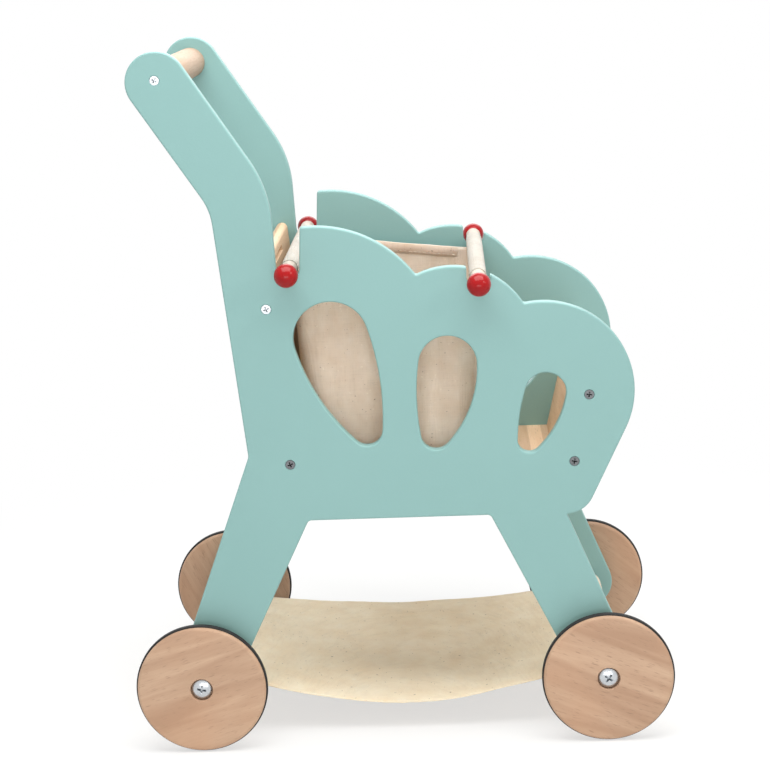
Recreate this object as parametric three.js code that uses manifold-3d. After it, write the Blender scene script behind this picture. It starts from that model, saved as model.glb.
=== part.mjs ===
// A wooden push-along doll stroller: two painted side panels on four wheels, with a handle,
// boards between the panels, a cloth bag hung on two rods and a cloth sling between the axles.
//
// Millimetres. +X is the front, +Y the left-hand side, +Z is up. The origin is on the floor,
// midway between the four wheels.

import * as THREE from 'three';
import { mergeVertices } from 'three/addons/utils/BufferGeometryUtils.js';
import Module from 'manifold-3d';

const wasm = await Module();
wasm.setup();

// ---------------------------------------------------------------- driving dimensions

const wheelbase = 312.6;
const insideWidth = 212.5; // between the two side panels
const undersideHeight = 177.8; // of the body, above the floor
const panelThickness = 9;

const wheel = { diameter: 101.6, thickness: 12, edgeRadius: 2.5, gap: 7.5 };
const tyre = { width: 5, thickness: 2.6, stand: 1.2 }; // stand: how far it stands out of the wood
const hub = { recessDiameter: 17.4, recessDepth: 4.5 };
const bolt = { headDiameter: 15.5, domeRise: 2, headHeight: 4, shankDiameter: 6, reachIntoRail: 14 };
const bush = { outerDiameter: 9.4 };
const spacer = { diameter: 16 };
const insert = { outerDiameter: 10, length: 16 };

const legEndRadius = 22;
const rail = { diameter: 20 };
const armEnd = { x: -165.3, rise: 335.5, radius: 22.7 };
const handle = { x: -166, rise: 337.2, diameter: 24.5 };

const rearBoard = { x: -77, tilt: -5.8, thickness: 9.5, length: 193.5, screws: [37.2, 158.1] };
const frontBoard = { x: 126.9, tilt: 13.3, thickness: 9, length: 108.4, screws: [33.7, 86.4] };
const floorBoard = { rise: 7.5, thickness: 9 };
const cardSlot = { width: 70, height: 5, belowTop: 11 };
const dowel = { diameter: 6, intoFloor: 14, intoBoard: 6, spread: 120 };

const rod = { diameter: 12, tenonDiameter: 8, tenonLength: 9, standOut: 9.5 };
const rearRod = { x: -75.5, rise: 192.4 };
const frontRod = { x: 66.2, rise: 180.9 };
const notchWidth = 17.5;
const ballDiameter = 18;

const bag = { width: 194, cloth: 2, sleeveWall: 1.6, bottomRear: -66, bottomFront: 55, cornerRadius: 18 };
const bagHem = { belowRearRod: 1, belowFrontRod: 7.2 };
const sling = { width: 197, cloth: 1.8, sleeveWall: 1.6, sagRight: 28.5, sagLeft: 10.5, curve: 1.8 };

const boardScrew = { headDiameter: 7.5, shankDiameter: 4, length: 40, recess: 4.2 };
const handleScrew = { headDiameter: 7.2, shankDiameter: 4.5, length: 50, recess: 4.2 };

// Clearances
const clearance = 0.3; // round a turned piece in its hole
const seatGap = 0.2; // between two pieces that bear on each other
const clothGap = 0.4; // between cloth and the wood that carries it

// How far a flat facet may stray from its true round
const outlineFlatness = 0.15;
const turnedFlatness = 0.25;
const degree = Math.PI / 180;

// ---------------------------------------------------------------- sizes worked out from these

const axleHeight = wheel.diameter / 2;
const panelInner = insideWidth / 2;
const panelOuter = panelInner + panelThickness;
const wheelFace = panelOuter + wheel.gap + wheel.thickness;
const floorTop = undersideHeight + floorBoard.rise + floorBoard.thickness;
const boardFoot = undersideHeight + floorBoard.rise;
const handleAxis = { x: handle.x, z: undersideHeight + handle.rise };
const rearRodAxis = { x: rearRod.x, z: undersideHeight + rearRod.rise };
const frontRodAxis = { x: frontRod.x, z: undersideHeight + frontRod.rise };
const sides = [{ name: 'right', sign: -1 }, { name: 'left', sign: 1 }];
const ends = [{ name: 'rear', x: -wheelbase / 2 }, { name: 'front', x: wheelbase / 2 }];

const finishes = {
  paint: { color: 0x93c0bc, roughness: 0.5, metalness: 0 },
  beech: { color: 0xe2c4aa, roughness: 0.6, metalness: 0 },
  ply: { color: 0xd8b48a, roughness: 0.65, metalness: 0 },
  wheelWood: { color: 0xc8a688, roughness: 0.6, metalness: 0 },
  rubber: { color: 0x1c1c1c, roughness: 0.7, metalness: 0 },
  red: { color: 0xbe1e23, roughness: 0.2, metalness: 0 },
  calico: { color: 0xcbb9a0, roughness: 0.95, metalness: 0 },
  zinc: { color: 0xc4c6c8, roughness: 0.35, metalness: 1 },
  darkZinc: { color: 0x6e7072, roughness: 0.4, metalness: 1 },
  brass: { color: 0xc9a24a, roughness: 0.35, metalness: 1 },
  nylon: { color: 0xe8e8e4, roughness: 0.5, metalness: 0 },
};

// ---------------------------------------------------------------- solids

// A closed solid from a geometry: its corners are welded and its flattened triangles left out.
function solid(geometry) {
  const bare = geometry.clone();
  bare.deleteAttribute('normal');
  bare.deleteAttribute('uv');
  const welded = mergeVertices(bare);
  const corners = welded.index.array;
  const kept = [];
  for (let i = 0; i < corners.length; i += 3) {
    const [a, b, c] = corners.slice(i, i + 3);
    if (a !== b && b !== c && c !== a) kept.push(a, b, c);
  }
  return new wasm.Manifold(new wasm.Mesh({
    numProp: 3,
    vertProperties: new Float32Array(welded.attributes.position.array),
    triVerts: new Uint32Array(kept),
  }));
}

function part(name, body, finish) {
  const { vertProperties, triVerts } = body.getMesh();
  const geometry = new THREE.BufferGeometry();
  geometry.setAttribute('position', new THREE.BufferAttribute(vertProperties, 3));
  geometry.setIndex(new THREE.BufferAttribute(triVerts, 1));
  geometry.computeVertexNormals();
  const mesh = new THREE.Mesh(geometry, new THREE.MeshStandardMaterial(finish));
  mesh.name = name;
  return mesh;
}

function box(width, depth, height, x, y, z) {
  return new THREE.BoxGeometry(width, depth, height).translate(x, y, z);
}

function stepsFor(radius, angle, flatness) {
  const step = 2 * Math.acos(1 - flatness / Math.max(radius, 4 * flatness));
  return Math.max(1, Math.ceil(Math.abs(angle) / step));
}

// A piece turned round the Y axis from its profile of [radius, y] pairs.
function turned(profile) {
  const widest = Math.max(...profile.map(([radius]) => radius));
  const points = profile.map(([radius, y]) => new THREE.Vector2(radius, y));
  return new THREE.LatheGeometry(points, Math.max(12, stepsFor(widest, 2 * Math.PI, turnedFlatness)));
}

// A ring turned round the Y axis: its profile closes on itself.
function turnedRing(profile) {
  return turned([...profile, profile[0]]);
}

function tube(outerDiameter, innerDiameter, from, to) {
  const outer = outerDiameter / 2;
  const inner = innerDiameter / 2;
  return turnedRing([[inner, from], [outer, from], [outer, to], [inner, to]]);
}

function bar(diameter, from, to) {
  return turned([[0, from], [diameter / 2, from], [diameter / 2, to], [0, to]]);
}

// A point `distance` along the line that leaves (x, z) at `angle`.
function along(x, z, angle, distance) {
  return new THREE.Vector2(x + distance * Math.cos(angle), z + distance * Math.sin(angle));
}

// The points of an arc that is met travelling at angle `heading` and turns through `turn`. A round
// on the left-hand side of the way has a positive radius, one on the right a negative radius.
function arc(x, z, radius, heading, turn) {
  const steps = stepsFor(Math.abs(radius), turn, outlineFlatness);
  const points = [];
  for (let i = 0; i <= steps; i += 1) {
    points.push(along(x, z, heading + (turn * i) / steps - Math.PI / 2, radius));
  }
  return points;
}

function wrap(angle) {
  return Math.atan2(Math.sin(angle), Math.cos(angle));
}

// The heading of the straight that leaves stop a and arrives at stop b, touching the round of each.
function headingBetween(a, b) {
  const way = Math.atan2(b.z - a.z, b.x - a.x);
  const reach = Math.hypot(b.x - a.x, b.z - a.z);
  const slip = ((b.r ?? 0) - (a.r ?? 0)) / reach;
  return way - Math.asin(THREE.MathUtils.clamp(slip, -1, 1));
}

// A closed outline that runs counter-clockwise past its stops, like a belt past pulleys. A stop is
// a round { x, z, r }, with r below 0 where the outline is hollow, or a corner { x, z, fillet }.
function outline(stops) {
  const count = stops.length;
  const headings = stops.map((stop, i) => headingBetween(stop, stops[(i + 1) % count]));
  const points = stops.flatMap((stop, i) => {
    const arriving = headings[(i + count - 1) % count];
    const turn = wrap(headings[i] - arriving);
    if (stop.r > 0) return arc(stop.x, stop.z, stop.r, arriving, turn < -1e-6 ? turn + 2 * Math.PI : turn);
    if (stop.r < 0) return arc(stop.x, stop.z, stop.r, arriving, turn > 1e-6 ? turn - 2 * Math.PI : turn);
    if (!stop.fillet) return [new THREE.Vector2(stop.x, stop.z)];
    const radius = Math.sign(turn) * stop.fillet;
    const start = along(stop.x, stop.z, arriving, -stop.fillet * Math.tan(Math.abs(turn) / 2));
    const centre = along(start.x, start.y, arriving + Math.PI / 2, radius);
    return arc(centre.x, centre.y, radius, arriving, turn);
  });
  return points.filter((point, i) => point.distanceTo(points[(i + 1) % points.length]) > 1e-3);
}

// Where two rounds cross, on the left-hand side of the way from a to b.
function crossing(a, b) {
  const reach = Math.hypot(b.x - a.x, b.z - a.z);
  const way = Math.atan2(b.z - a.z, b.x - a.x);
  const nearer = (reach ** 2 + a.r ** 2 - b.r ** 2) / (2 * reach);
  const point = along(a.x, a.z, way + Math.acos(nearer / a.r), a.r);
  return { x: point.x, z: point.y };
}

// A plate whose XZ outline runs through its thickness along Y.
function plate(points, from, to, holes = []) {
  const shape = new THREE.Shape(points);
  shape.holes = holes.map((hole) => new THREE.Path(hole));
  const geometry = new THREE.ExtrudeGeometry(shape, { depth: to - from, bevelEnabled: false });
  return geometry.rotateX(Math.PI / 2).translate(0, to, 0);
}

// ---------------------------------------------------------------- fasteners

function crossRecess(width) {
  const blade = 0.22 * width;
  const depth = 0.8 * width;
  return solid(box(width, depth, blade, 0, 0, 0)).add(solid(box(blade, depth, width, 0, 0, 0)));
}

// Screws and bolts lie along Y from their outer face, y = 0, and point inwards, towards +Y.
function screwShape({ headDiameter, shankDiameter, length }, spare, start) {
  const head = headDiameter / 2 + spare;
  const shank = shankDiameter / 2 + spare;
  return turned([
    [0, start], [head, start], [head, seatGap], [shank, seatGap + head - shank],
    [shank, length - shankDiameter + spare], [0, length + spare],
  ]);
}

function screw(size) {
  return solid(screwShape(size, 0, seatGap)).subtract(crossRecess(size.recess));
}

// Turns a piece that lies along Y for the right-hand side to the side where it goes.
function onSide(geometry, side, x, z) {
  const turn = side.sign > 0 ? Math.PI : 0;
  return geometry.clone().rotateZ(turn).translate(x, side.sign * panelOuter, z);
}

function placed(mesh, side, x, y, z) {
  mesh.position.set(x, side.sign * y, z);
  mesh.rotation.z = side.sign > 0 ? Math.PI : 0;
  return mesh;
}

// ---------------------------------------------------------------- boards between the panels

// A point on a board's middle line, `distance` up from its foot.
function upBoard(board, distance) {
  const tilt = board.tilt * degree;
  return { x: board.x + distance * Math.sin(tilt), z: boardFoot + distance * Math.cos(tilt) };
}

function boardScrewAt(board, place, name, finish) {
  return { name, at: upBoard(board, board.screws[place]), size: boardScrew, finish };
}

const fixings = [
  { name: 'handle_screw', at: handleAxis, size: handleScrew, finish: finishes.zinc },
  boardScrewAt(rearBoard, 0, 'rear_board_lower_screw', finishes.darkZinc),
  boardScrewAt(rearBoard, 1, 'rear_board_upper_screw', finishes.zinc),
  boardScrewAt(frontBoard, 0, 'front_board_lower_screw', finishes.darkZinc),
  boardScrewAt(frontBoard, 1, 'front_board_upper_screw', finishes.darkZinc),
];

function screwHoles(body, side) {
  return fixings.reduce((rest, { at, size }) => {
    const hole = onSide(screwShape(size, clearance, -1), side, at.x, at.z);
    return rest.subtract(solid(hole));
  }, body);
}

function boardFace(board, forwards, height) {
  const tilt = board.tilt * degree;
  const middle = board.x + (height - boardFoot) * Math.tan(tilt);
  return middle + (forwards * board.thickness) / 2 / Math.cos(tilt);
}

const floorMiddle = floorTop - floorBoard.thickness / 2;

// Wooden dowels pin each end of the floor board to the board that it meets.
const dowels = [
  { name: 'rear', face: boardFace(rearBoard, 1, floorMiddle), into: 1 },
  { name: 'front', face: boardFace(frontBoard, -1, floorMiddle), into: -1 },
].flatMap((end) => sides.map((side) => ({
  name: `${end.name}_floor_dowel_${side.name}`,
  x: end.face + (end.into * (dowel.intoFloor - dowel.intoBoard)) / 2,
  y: (side.sign * dowel.spread) / 2,
})));

function dowelShape(spare) {
  const reach = (dowel.intoFloor + dowel.intoBoard) / 2 + spare;
  return bar(dowel.diameter + 2 * spare, -reach, reach).rotateZ(Math.PI / 2);
}

function dowelHoles(body) {
  return dowels.reduce((rest, { x, y }) => {
    return rest.subtract(solid(dowelShape(clearance).translate(x, y, floorMiddle)));
  }, body);
}

function tiltedBoard(board, topRadius) {
  const half = board.thickness / 2;
  const foot = upBoard(board, 0);
  const top = upBoard(board, board.length - topRadius);
  const across = board.tilt * degree;
  const corner = (point, reach) => {
    const spot = along(point.x, point.z, -across, reach);
    return { x: spot.x, z: spot.y };
  };
  const side = half - topRadius;
  const stops = [
    corner(foot, -half), corner(foot, half),
    { ...corner(top, side), r: topRadius }, { ...corner(top, -side), r: topRadius },
  ];
  return solid(plate(outline(stops), -panelInner + seatGap, panelInner - seatGap));
}

function allScrewHoles(body) {
  return sides.reduce((rest, side) => screwHoles(rest, side), body);
}

function makeRearBoard() {
  const roundTop = rearBoard.thickness / 2 - 0.25;
  const slotAt = upBoard(rearBoard, rearBoard.length - cardSlot.belowTop);
  const slot = box(4 * rearBoard.thickness, cardSlot.width, cardSlot.height, slotAt.x, 0, slotAt.z);
  const board = tiltedBoard(rearBoard, roundTop).subtract(solid(slot));
  return part('rear_board', dowelHoles(allScrewHoles(board)), finishes.ply);
}

function makeFrontBoard() {
  const board = tiltedBoard(frontBoard, frontBoard.thickness / 4);
  return part('front_board', dowelHoles(allScrewHoles(board)), finishes.ply);
}

function makeFloorBoard() {
  const bottom = floorTop - floorBoard.thickness;
  const points = [
    { x: boardFace(rearBoard, 1, bottom) + seatGap, z: bottom },
    { x: boardFace(frontBoard, -1, bottom) - seatGap, z: bottom },
    { x: boardFace(frontBoard, -1, floorTop) - seatGap, z: floorTop },
    { x: boardFace(rearBoard, 1, floorTop) + seatGap, z: floorTop },
  ];
  const board = plate(outline(points), -panelInner + seatGap, panelInner - seatGap);
  return part('floor_board', dowelHoles(solid(board)), finishes.ply);
}

function makeDowels() {
  return dowels.map(({ name, x, y }) => {
    const mesh = part(name, solid(dowelShape(0)), finishes.beech);
    mesh.position.set(x, y, floorMiddle);
    return mesh;
  });
}

// ---------------------------------------------------------------- side panels

// The body's outline is given from its underside, so that longer legs lift all of it.
const onBody = (x, rise, more = {}) => ({ x, z: undersideHeight + rise, ...more });

const scallops = [
  onBody(112.2, 95, { r: 68.7 }), onBody(46.2, 130.5, { r: 62 }), onBody(-56.8, 131.8, { r: 94 }),
];
const armFrontBend = onBody(-86.6, 255.4, { fillet: 90 });
const armRearBend = onBody(-130.9, 240.7, { fillet: 45 });
const rearCorner = onBody(-112.4, 51.4, { fillet: 4 });
const legTops = { rearInner: -69, frontInner: 70, frontOuter: 128 };
const frontCornerRadius = 22;
const scallopStart = -65;

// Leaf-shaped windows: a wide round and a narrow one, with bowed sides.
const leaves = [
  {
    wide: onBody(-45.7, 140.5, { r: 28.3 }), narrow: onBody(-21.5, 69, { r: 11.8 }),
    rearBow: 160, frontBow: 210,
  },
  {
    wide: onBody(41.2, 118, { r: 22 }), narrow: onBody(30.7, 64, { r: 11.5 }),
    rearBow: 190, frontBow: 88,
  },
  {
    wide: onBody(114.2, 94, { r: 15.5 }), narrow: onBody(101.2, 57, { r: 9 }),
    rearBow: 150, frontBow: 75,
  },
];

// The round that bows a leaf's side: it touches both end rounds from outside.
function bow(from, to, radius) {
  const centre = crossing({ ...from, r: radius - from.r }, { ...to, r: radius - to.r });
  return { ...centre, r: radius };
}

function leafOutline({ wide, narrow, rearBow, frontBow }) {
  return outline([wide, bow(wide, narrow, rearBow), narrow, bow(narrow, wide, frontBow)]);
}

function notchStops(axis, frontEdge, rearEdge) {
  const radius = notchWidth / 2;
  const lowest = axis.z - rod.diameter / 2 - clearance;
  const round = { x: axis.x, z: lowest + radius, r: -radius };
  return [...frontEdge, round, ...rearEdge];
}

// The height of a scallop's edge at x.
function scallopEdge(scallop, x) {
  return scallop.z + Math.sqrt(scallop.r ** 2 - (x - scallop.x) ** 2);
}

function panelOutline() {
  const [front, middle, rear] = scallops;
  const frontWall = frontRod.x + notchWidth / 2;
  const rearWall = frontRod.x - notchWidth / 2;
  const underside = undersideHeight;
  return outline([
    { x: -wheelbase / 2, z: axleHeight, r: legEndRadius },
    { x: legTops.rearInner, z: underside, fillet: 4 },
    { x: legTops.frontInner, z: underside, fillet: 4 },
    { x: wheelbase / 2, z: axleHeight, r: legEndRadius },
    { x: legTops.frontOuter, z: underside - 1 },
    { x: legTops.frontOuter, z: underside - 1 + frontCornerRadius, r: frontCornerRadius },
    front,
    crossing(middle, front),
    middle,
    ...notchStops(
      frontRodAxis,
      [{ x: frontWall, z: scallopEdge(middle, frontWall) }],
      [{ x: rearWall, z: scallopEdge(middle, rearWall) }],
    ),
    middle,
    crossing(rear, middle),
    rear,
    ...notchStops(
      rearRodAxis,
      [{ x: scallopStart, z: scallopEdge(rear, scallopStart) }],
      [armFrontBend],
    ),
    onBody(armEnd.x, armEnd.rise, { r: armEnd.radius }),
    armRearBend,
    rearCorner,
  ]);
}

function makeSidePanel(side) {
  const near = Math.min(side.sign * panelInner, side.sign * panelOuter);
  const blank = solid(plate(panelOutline(), near, near + panelThickness, leaves.map(leafOutline)));
  const drilled = ends.reduce((rest, { x }) => {
    const hole = bar(bolt.shankDiameter + 2 * clearance, near - 1, near + panelThickness + 1);
    return rest.subtract(solid(hole.translate(x, 0, axleHeight)));
  }, blank);
  return part(`side_panel_${side.name}`, screwHoles(drilled, side), finishes.paint);
}

function makePanelScrews() {
  return fixings.flatMap(({ name, at, size, finish }) => sides.map((side) => {
    return placed(part(`${name}_${side.name}`, screw(size), finish), side, at.x, panelOuter, at.z);
  }));
}

// ---------------------------------------------------------------- handle and cross rails

function makeHandle() {
  const length = panelInner - seatGap;
  const dowelBar = bar(handle.diameter, -length, length).translate(handleAxis.x, 0, handleAxis.z);
  return part('handle_bar', allScrewHoles(solid(dowelBar)), finishes.beech);
}

// Each cross rail has a blind bore in both ends for the threaded insert of a wheel bolt.
function makeRail({ name, x }) {
  const end = panelInner - seatGap;
  const bore = insert.outerDiameter / 2 + clearance;
  const bottom = end - insert.length - 2 * clearance;
  const radius = rail.diameter / 2;
  const mesh = part(`${name}_cross_rail`, solid(turned([
    [0, -bottom], [bore, -bottom], [bore, -end], [radius, -end],
    [radius, end], [bore, end], [bore, bottom], [0, bottom],
  ])), finishes.beech);
  mesh.position.set(x, 0, axleHeight);
  return mesh;
}

// ---------------------------------------------------------------- wheels

// Every piece of a wheel lies along Y from the wheel's outer face, y = 0, towards the panel.
function wheelDisc() {
  const { thickness, edgeRadius } = wheel;
  const radius = wheel.diameter / 2 - tyre.stand;
  const groove = wheel.diameter / 2 - tyre.thickness - clearance;
  const bore = bush.outerDiameter / 2 + clearance;
  const recess = hub.recessDiameter / 2;
  const grooveFrom = (thickness - tyre.width) / 2 - clearance;
  const grooveTo = thickness - grooveFrom;
  const rounded = (from, centre) => [0, 45, 90].map((angle) => [
    radius - edgeRadius + edgeRadius * Math.sin((from + angle) * degree),
    centre - edgeRadius * Math.cos((from + angle) * degree),
  ]);
  return turnedRing([
    [bore, hub.recessDepth], [recess, hub.recessDepth], [recess, 0],
    ...rounded(0, edgeRadius), [radius, grooveFrom], [groove, grooveFrom],
    [groove, grooveTo], [radius, grooveTo], ...rounded(90, thickness - edgeRadius).slice(1),
    [bore, thickness],
  ]);
}

function tyreBand() {
  const outer = wheel.diameter / 2;
  const inner = outer - tyre.thickness;
  const from = (wheel.thickness - tyre.width) / 2;
  const to = from + tyre.width;
  const soften = 0.8;
  return turnedRing([
    [inner, from], [outer - soften, from], [outer, from + soften],
    [outer, to - soften], [outer - soften, to], [inner, to],
  ]);
}

const boltSeat = hub.recessDepth - seatGap;
const legFace = wheel.thickness + wheel.gap;
const railEnd = legFace + panelThickness + seatGap;

function wheelBolt() {
  const head = bolt.headDiameter / 2;
  const shank = bolt.shankDiameter / 2;
  const top = boltSeat - bolt.headHeight;
  const dome = [0, 0.35, 0.65, 0.88].map((share) => [head * share, top + bolt.domeRise * share ** 2.4]);
  const end = railEnd + bolt.reachIntoRail;
  return turned([
    ...dome, [head, top + bolt.domeRise], [head, boltSeat], [shank, boltSeat], [shank, end], [0, end],
  ]);
}

function makeWheel(end, side) {
  const name = `${end.name}_${side.name}`;
  const bore = bolt.shankDiameter + 2 * clearance;
  const spacerFrom = wheel.thickness + clearance;
  const insertFrom = railEnd + seatGap;
  const recess = crossRecess(0.5 * bolt.headDiameter);
  const pieces = [
    part(`wheel_${name}`, solid(wheelDisc()), finishes.wheelWood),
    part(`tyre_${name}`, solid(tyreBand()), finishes.rubber),
    part(`wheel_bolt_${name}`, solid(wheelBolt()).subtract(recess), finishes.zinc),
    part(`wheel_bush_${name}`, solid(tube(
      bush.outerDiameter, bore, boltSeat + seatGap, wheel.thickness + clearance - seatGap,
    )), finishes.nylon),
    part(`wheel_spacer_${name}`, solid(tube(
      spacer.diameter, bore, spacerFrom, legFace - clearance,
    )), finishes.nylon),
    part(`rail_insert_${name}`, solid(tube(
      insert.outerDiameter, bore, insertFrom, insertFrom + insert.length,
    )), finishes.brass),
  ];
  const group = new THREE.Group();
  group.add(...pieces);
  return placed(group, side, end.x, wheelFace, axleHeight);
}

// ---------------------------------------------------------------- bag, rods and balls

const ballFlat = panelOuter + rod.standOut; // the flat of each ball, against the rod's shoulder

// A rod with a tenon at each end for its ball.
function rodShape() {
  const radius = rod.diameter / 2;
  const tenon = rod.tenonDiameter / 2;
  const shoulder = ballFlat - seatGap;
  const end = shoulder + rod.tenonLength;
  return turned([
    [0, -end], [tenon, -end], [tenon, -shoulder], [radius, -shoulder],
    [radius, shoulder], [tenon, shoulder], [tenon, end], [0, end],
  ]);
}

// A ball with its flat and its bore facing +Y, and its flat at y = 0.
function ballShape() {
  const radius = ballDiameter / 2;
  const flat = rod.diameter / 2 - clearance;
  const centre = -Math.sqrt(radius ** 2 - flat ** 2);
  const bore = rod.tenonDiameter / 2 + clearance;
  const from = Math.acos(-centre / radius);
  const steps = 8;
  const round = Array.from({ length: steps + 1 }, (_, i) => {
    const angle = from + ((Math.PI - from) * i) / steps;
    return [radius * Math.sin(angle), centre + radius * Math.cos(angle)];
  });
  round[steps][0] = 0;
  const bottom = -rod.tenonLength - clearance;
  return turned([...round.reverse(), [bore, 0], [bore, bottom], [0, bottom]]);
}

function makeRods() {
  return [['rear', rearRodAxis], ['front', frontRodAxis]].flatMap(([name, axis]) => {
    const mesh = part(`${name}_bag_rod`, solid(rodShape()), finishes.beech);
    mesh.position.set(axis.x, 0, axis.z);
    const balls = sides.map((side) => {
      const ball = part(`${name}_rod_ball_${side.name}`, solid(ballShape()), finishes.red);
      return placed(ball, side, axis.x, ballFlat, axis.z);
    });
    return [mesh, ...balls];
  });
}

// The bag hangs on the rods by a sleeve at each end and rests on the floor board.
function bagSection(inset, extraTop) {
  const bottom = floorTop + clothGap + inset;
  const radius = bag.cornerRadius - inset;
  return outline([
    { x: bag.bottomRear + inset, z: bottom, fillet: radius },
    { x: bag.bottomFront - inset, z: bottom, fillet: radius },
    { x: frontRodAxis.x + bag.cloth / 2 - inset, z: frontRodAxis.z - bagHem.belowFrontRod + extraTop },
    { x: rearRodAxis.x - bag.cloth / 2 + inset, z: rearRodAxis.z - bagHem.belowRearRod + extraTop },
  ]);
}

function makeBag() {
  const half = bag.width / 2;
  const bore = rod.diameter + 2 * clothGap;
  const outer = solid(plate(bagSection(0, 0), -half, half));
  const inner = solid(plate(bagSection(bag.cloth, 30), -half + bag.cloth, half - bag.cloth));
  const axes = [rearRodAxis, frontRodAxis];
  const sleeved = axes.reduce((rest, { x, z }) => {
    return rest.add(solid(bar(bore + 2 * bag.sleeveWall, -half, half).translate(x, 0, z)));
  }, outer.subtract(inner));
  const bored = axes.reduce((rest, { x, z }) => {
    return rest.subtract(solid(bar(bore, -half - 1, half + 1).translate(x, 0, z)));
  }, sleeved);
  return part('bag', bored, finishes.calico);
}

// ---------------------------------------------------------------- sling

// The sling hangs between the cross rails, lower along its right-hand edge than its left.
function makeSling() {
  const half = sling.width / 2;
  const bore = rail.diameter + 2 * clothGap;
  const sleeve = bore + 2 * sling.sleeveWall;
  const reach = wheelbase / 2 - sleeve / 2 + sling.sleeveWall / 2;
  const sheet = new THREE.BoxGeometry(2 * reach, sling.width, sling.cloth, 20, 6, 1);
  const spots = sheet.attributes.position;
  for (let i = 0; i < spots.count; i += 1) {
    const share = 0.5 - spots.getY(i) / sling.width;
    const sag = THREE.MathUtils.lerp(sling.sagLeft, sling.sagRight, share);
    const height = -sag * (1 - Math.abs(spots.getX(i) / reach) ** sling.curve);
    spots.setZ(i, spots.getZ(i) + height);
  }
  const body = ends.reduce((rest, { x }) => {
    const wrapped = rest.add(solid(bar(sleeve, -half, half).translate(x, 0, 0)));
    return wrapped.subtract(solid(bar(bore, -half - 1, half + 1).translate(x, 0, 0)));
  }, solid(sheet));
  const mesh = part('sling', body, finishes.calico);
  mesh.position.z = axleHeight;
  return mesh;
}

// ---------------------------------------------------------------- assembly

const dollStroller = new THREE.Group();
dollStroller.add(
  ...sides.map(makeSidePanel),
  makeHandle(),
  makeRearBoard(),
  makeFrontBoard(),
  makeFloorBoard(),
  ...makeDowels(),
  ...ends.map(makeRail),
  ...makePanelScrews(),
  ...ends.flatMap((end) => sides.map((side) => makeWheel(end, side))),
  ...makeRods(),
  makeBag(),
  makeSling(),
);

export default dollStroller;
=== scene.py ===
import math

import bmesh
import bpy
from mathutils import Matrix, Vector, noise


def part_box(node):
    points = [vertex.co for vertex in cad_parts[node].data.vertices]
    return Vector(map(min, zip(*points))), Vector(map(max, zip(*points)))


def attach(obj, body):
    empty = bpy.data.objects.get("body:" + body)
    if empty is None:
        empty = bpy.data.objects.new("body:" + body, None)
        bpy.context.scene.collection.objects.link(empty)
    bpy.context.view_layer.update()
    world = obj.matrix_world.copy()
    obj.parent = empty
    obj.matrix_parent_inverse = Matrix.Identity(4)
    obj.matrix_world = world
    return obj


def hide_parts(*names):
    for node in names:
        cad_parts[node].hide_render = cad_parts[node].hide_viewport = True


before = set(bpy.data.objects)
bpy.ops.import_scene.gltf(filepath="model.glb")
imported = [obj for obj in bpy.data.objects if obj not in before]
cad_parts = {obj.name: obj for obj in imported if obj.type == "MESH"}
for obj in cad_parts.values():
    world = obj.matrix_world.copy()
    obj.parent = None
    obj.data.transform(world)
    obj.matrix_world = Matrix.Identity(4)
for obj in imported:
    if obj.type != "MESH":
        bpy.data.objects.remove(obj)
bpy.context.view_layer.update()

# Looks of the doll stroller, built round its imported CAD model. Metres, +X front, +Y left, +Z up.
# Each size that repeats one of the CAD model's is given in millimetres times mm.

mm = 0.001
sides = {"right": -1, "left": 1}
ends = ("rear", "front")


# ------------------------------------------------------------------ camera

camera_place = Vector((0.0458, -1.6206, 0.6096))
camera_heading, camera_pitch, camera_roll = (math.radians(a) for a in (1.984, -12.271, -2.331))

camera = bpy.data.objects.new("camera", bpy.data.cameras.new("camera"))
camera.data.lens = 95.84
camera.data.sensor_width = 36
camera.data.clip_end = 50
camera.matrix_world = (
    Matrix.Translation(camera_place)
    @ Matrix.Rotation(camera_heading, 4, "Z")
    @ Matrix.Rotation(math.pi / 2 + camera_pitch, 4, "X")
    @ Matrix.Rotation(camera_roll, 4, "Z")
)
bpy.context.scene.collection.objects.link(camera)
bpy.context.scene.camera = camera


# ------------------------------------------------------------------ materials

def linear(red, green, blue):
    """A colour as written in sRGB, 0 to 255, as the shader takes it."""
    def one(value):
        share = value / 255
        return share / 12.92 if share <= 0.04045 else ((share + 0.055) / 1.055) ** 2.4
    return (one(red), one(green), one(blue), 1)


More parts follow.
